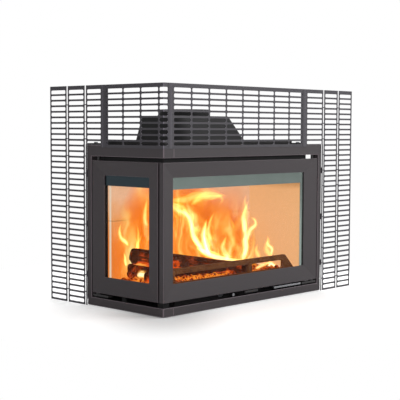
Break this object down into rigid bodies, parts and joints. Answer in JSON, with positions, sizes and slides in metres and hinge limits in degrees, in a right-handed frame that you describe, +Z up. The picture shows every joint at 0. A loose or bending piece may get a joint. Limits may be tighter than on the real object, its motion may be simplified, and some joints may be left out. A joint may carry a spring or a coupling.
{
  "type": "fireplace insert",
  "caption": "Corner wood-burning fireplace insert with glass doors to the front and left, an L-shaped cast surround, slotted convection sheets with snap-off strips, smoke dome and flue collar",
  "frame": {"origin": "middle of the bounding box on the floor, under the levelling feet", "axes": "+Z up, +X along the front from the glass corner to the right wing, +Y from the front to the back; the front door faces -Y and the side door faces -X"},
  "size_m": [0.943, 0.53, 0.697],
  "materials": {
    "painted_casting": "cast iron with matt anthracite stove paint, fine cast grain",
    "painted_sheet": "punched steel sheet, matt anthracite heat-proof paint",
    "cast_iron": "raw sand-cast iron with matt black stove paint",
    "steel_plate": "folded or flame-cut steel plate, matt black heat-proof paint",
    "bright_steel": "turned and zinc-plated steel",
    "fire_clay": "pressed vermiculite and fireclay plates, coarse matt grain",
    "ceramic_glass": "clear heat-proof ceramic glass",
    "glass_fibre_seal": "braided glass-fibre rope and tape, soot grey"
  },
  "bodies": {
    "insert_body": {"air_box": "steel_plate", "air_chamber_wall": "steel_plate", "air_inlet_spigot": "steel_plate", "air_wash_duct": "steel_plate", "back_burn_plate_lower": "fire_clay", "back_burn_plate_upper": "fire_clay", "back_plate": "steel_plate", "base_plate": "steel_plate", "firebox_floor": "cast_iron", "floor_burn_plates": "fire_clay", "flue_collar": "cast_iron", "front_hinge_lower": "steel_plate", "front_hinge_upper": "steel_plate", "grille_brackets": "painted_sheet", "grille_front": "painted_sheet", "grille_left": "painted_sheet", "grille_nuts": "bright_steel", "grille_post_corner": "painted_sheet", "grille_post_left": "painted_sheet", "grille_post_right": "painted_sheet", "log_guard": "cast_iron", "opening_casting": "cast_iron", "rear_heat_shield": "steel_plate", "side_burn_plate": "fire_clay", "side_hinge_lower": "steel_plate", "side_hinge_upper": "steel_plate", "side_plate_left": "steel_plate", "side_plate_right": "steel_plate", "smoke_baffle": "fire_clay", "smoke_dome": "cast_iron", "strike_plates": "bright_steel", "surround_brackets": "steel_plate", "surround_front": "painted_casting", "surround_left": "painted_casting", "top_bolts": "bright_steel", "top_plate": "cast_iron", "wing_clips": "painted_sheet", "wing_left": "painted_sheet", "wing_right": "painted_sheet"},
    "front_door": {"front_door_frame": "painted_casting", "front_glass": "ceramic_glass", "front_glass_seal": "glass_fibre_seal", "front_door_rope": "glass_fibre_seal", "front_glass_clips": "steel_plate", "front_ball_catch": "bright_steel"},
    "side_door": {"side_door_frame": "painted_casting", "side_glass": "ceramic_glass", "side_glass_seal": "glass_fibre_seal", "side_door_rope": "glass_fibre_seal", "side_glass_clips": "steel_plate", "side_ball_catch": "bright_steel"},
    "front_door_handle": {"front_handle": "steel_plate"},
    "air_control": {"air_control_bar": "bright_steel", "air_shutter": "steel_plate"},
    "start_air": {"start_air_knob": "bright_steel"},
    "foot_front_left": {"foot_front_left": "bright_steel"},
    "foot_front_right": {"foot_front_right": "bright_steel"},
    "foot_rear_left": {"foot_rear_left": "bright_steel"},
    "foot_rear_right": {"foot_rear_right": "bright_steel"}
  },
  "joints": [
    {"name": "front_door_hinge", "type": "hinge", "parent": "insert_body", "child": "front_door", "pos_m": [0.254, -0.2535, 0.254], "axis": [0, 0, 1], "range_deg": [0, 100]},
    {"name": "side_door_hinge", "type": "hinge", "parent": "insert_body", "child": "side_door", "pos_m": [-0.46, 0.037, 0.254], "axis": [0, 0, -1], "range_deg": [0, 100]},
    {"name": "front_handle_pivot", "type": "hinge", "parent": "front_door", "child": "front_door_handle", "pos_m": [-0.0365, -0.2535, 0.038], "axis": [0, 0, 1], "range_deg": [0, 90]},
    {"name": "air_control_slide", "type": "slide", "parent": "insert_body", "child": "air_control", "axis": [-1, 0, 0], "range_m": [0, 0.02]},
    {"name": "start_air_pull", "type": "slide", "parent": "insert_body", "child": "start_air", "axis": [0, -1, 0], "range_m": [0, 0.025]},
    {"name": "foot_front_left_screw", "type": "slide", "parent": "insert_body", "child": "foot_front_left", "axis": [0, 0, -1], "range_m": [0, 0.02]},
    {"name": "foot_front_right_screw", "type": "slide", "parent": "insert_body", "child": "foot_front_right", "axis": [0, 0, -1], "range_m": [0, 0.02]},
    {"name": "foot_rear_left_screw", "type": "slide", "parent": "insert_body", "child": "foot_rear_left", "axis": [0, 0, -1], "range_m": [0, 0.02]},
    {"name": "foot_rear_right_screw", "type": "slide", "parent": "insert_body", "child": "foot_rear_right", "axis": [0, 0, -1], "range_m": [0, 0.02]}
  ]
}
